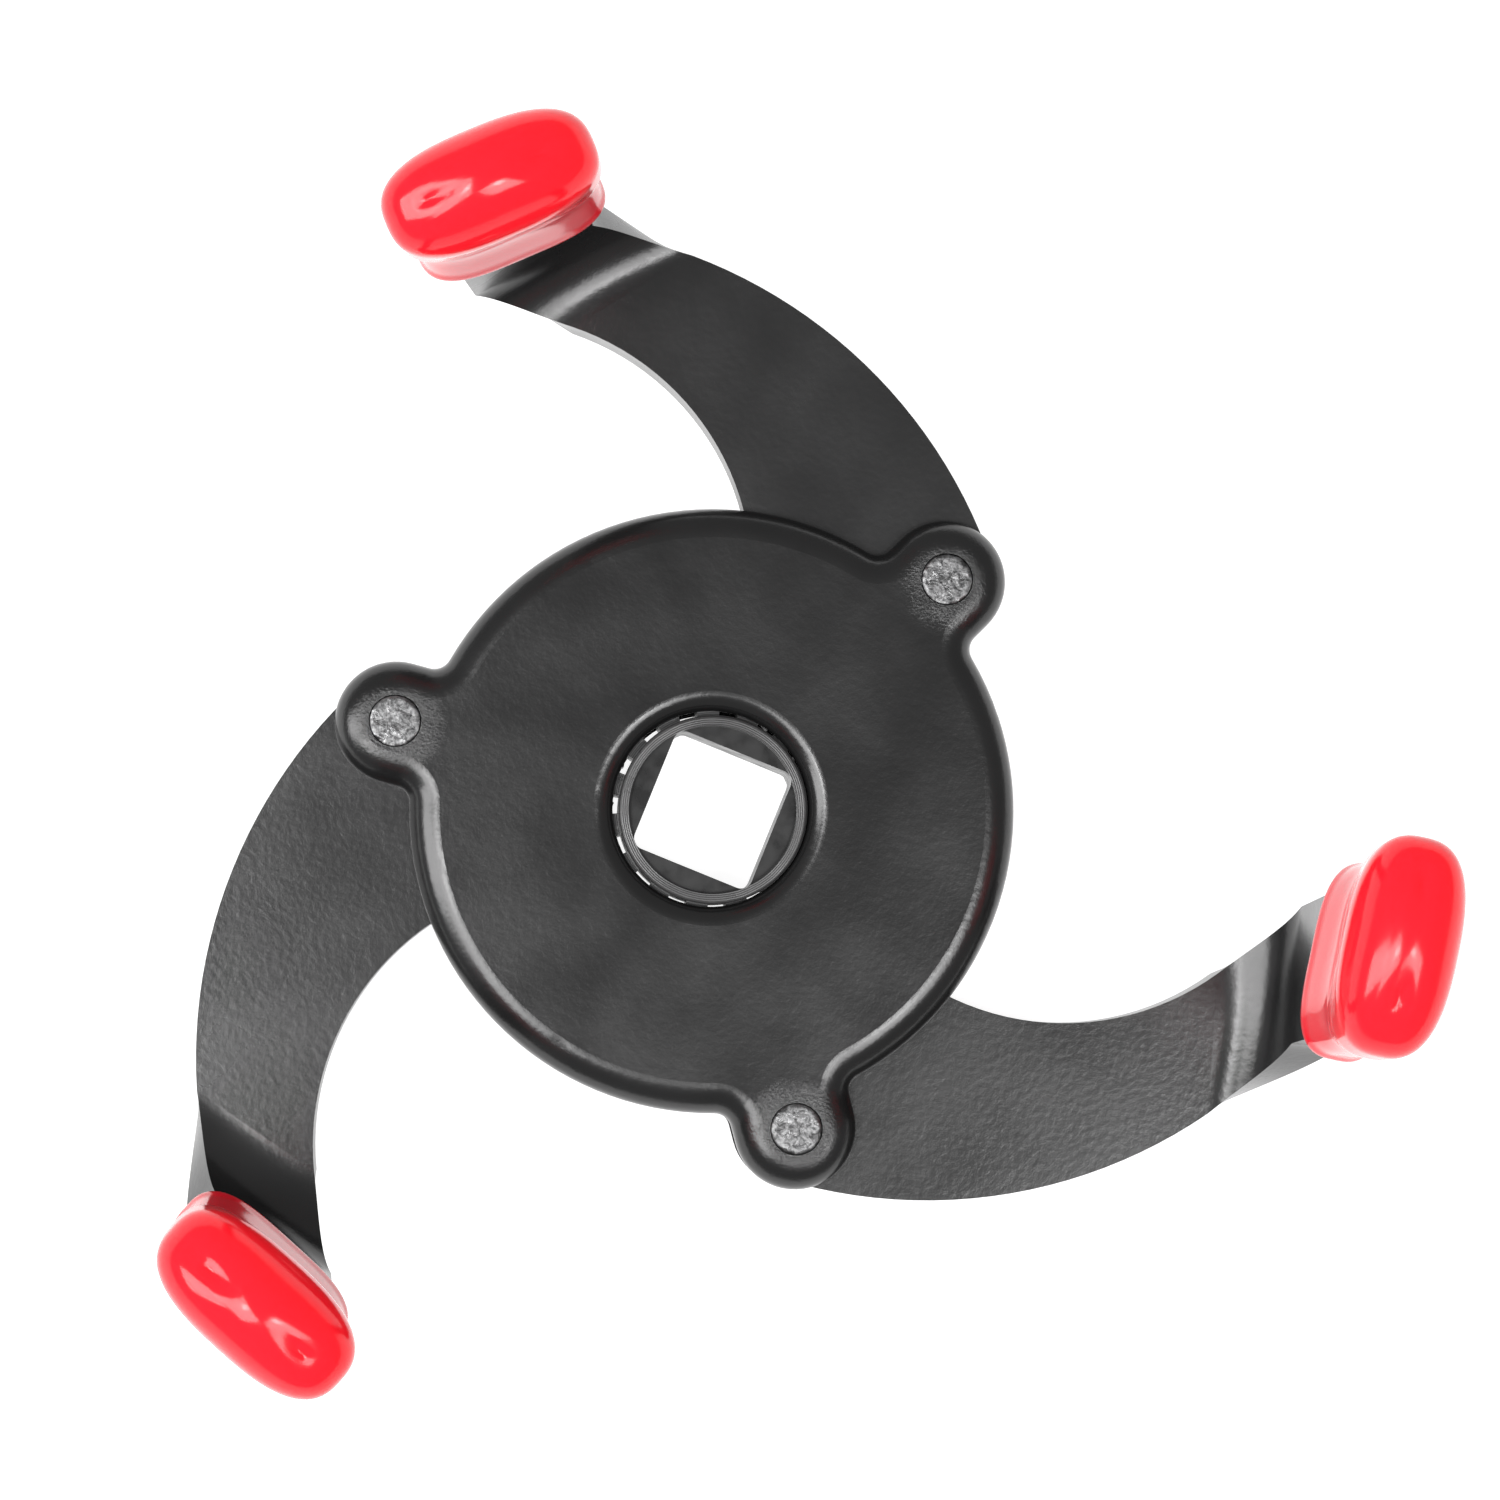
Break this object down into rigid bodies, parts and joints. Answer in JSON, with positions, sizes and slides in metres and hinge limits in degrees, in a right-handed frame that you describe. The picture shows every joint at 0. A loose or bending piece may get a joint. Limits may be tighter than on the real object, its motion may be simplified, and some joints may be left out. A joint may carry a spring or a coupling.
{
  "type": "oil filter wrench",
  "caption": "Adjustable oil filter wrench whose geared curved arms swing on a pressed steel housing and close bent, vinyl-dipped fingers on a filter when its square drive turns.",
  "frame": {"origin": "on the drive axis, at the outer face of the back cover, on which the tool rests with its jaws up", "axes": "+Z along the drive axis towards the jaws; X and Y along the flats of the square hole"},
  "size_m": [0.1209, 0.1211, 0.0608],
  "materials": {
    "black_paint": "semi-gloss black baked enamel over pressed steel",
    "black_arm_paint": "semi-gloss black baked enamel over flat steel",
    "dark_machined_steel": "blackened turned steel with fine turning lines",
    "bare_steel": "bare steel with hammered, peened ends",
    "red_vinyl": "glossy dip-moulded soft vinyl"
  },
  "bodies": {
    "housing": {"back_cover": "black_paint", "front_cover": "black_paint", "pivot_rivet_1": "bare_steel", "pivot_rivet_2": "bare_steel", "pivot_rivet_3": "bare_steel"},
    "drive_gear": {"drive_gear": "dark_machined_steel"},
    "jaw_1": {"jaw_arm_1": "black_arm_paint", "grip_sleeve_1": "red_vinyl"},
    "jaw_2": {"jaw_arm_2": "black_arm_paint", "grip_sleeve_2": "red_vinyl"},
    "jaw_3": {"jaw_arm_3": "black_arm_paint", "grip_sleeve_3": "red_vinyl"}
  },
  "joints": [
    {"name": "drive_turn", "type": "hinge", "parent": "housing", "child": "drive_gear", "pos_m": [0, 0, 0.00625], "axis": [0, 0, 1], "range_deg": [-68, 24]},
    {"name": "jaw_1_swing", "type": "hinge", "parent": "housing", "child": "jaw_1", "pos_m": [0.01335, 0.031, 0.00625], "axis": [0, 0, 1], "range_deg": [-12, 34]},
    {"name": "jaw_2_swing", "type": "hinge", "parent": "housing", "child": "jaw_2", "pos_m": [-0.03352, -0.00394, 0.00625], "axis": [0, 0, 1], "range_deg": [-12, 34]},
    {"name": "jaw_3_swing", "type": "hinge", "parent": "housing", "child": "jaw_3", "pos_m": [0.02017, -0.02706, 0.00625], "axis": [0, 0, 1], "range_deg": [-12, 34]}
  ],
  "couplings": [
    {"joint": "jaw_1_swing", "follows": "drive_turn", "ratio": -0.5},
    {"joint": "jaw_2_swing", "follows": "drive_turn", "ratio": -0.5},
    {"joint": "jaw_3_swing", "follows": "drive_turn", "ratio": -0.5}
  ]
}
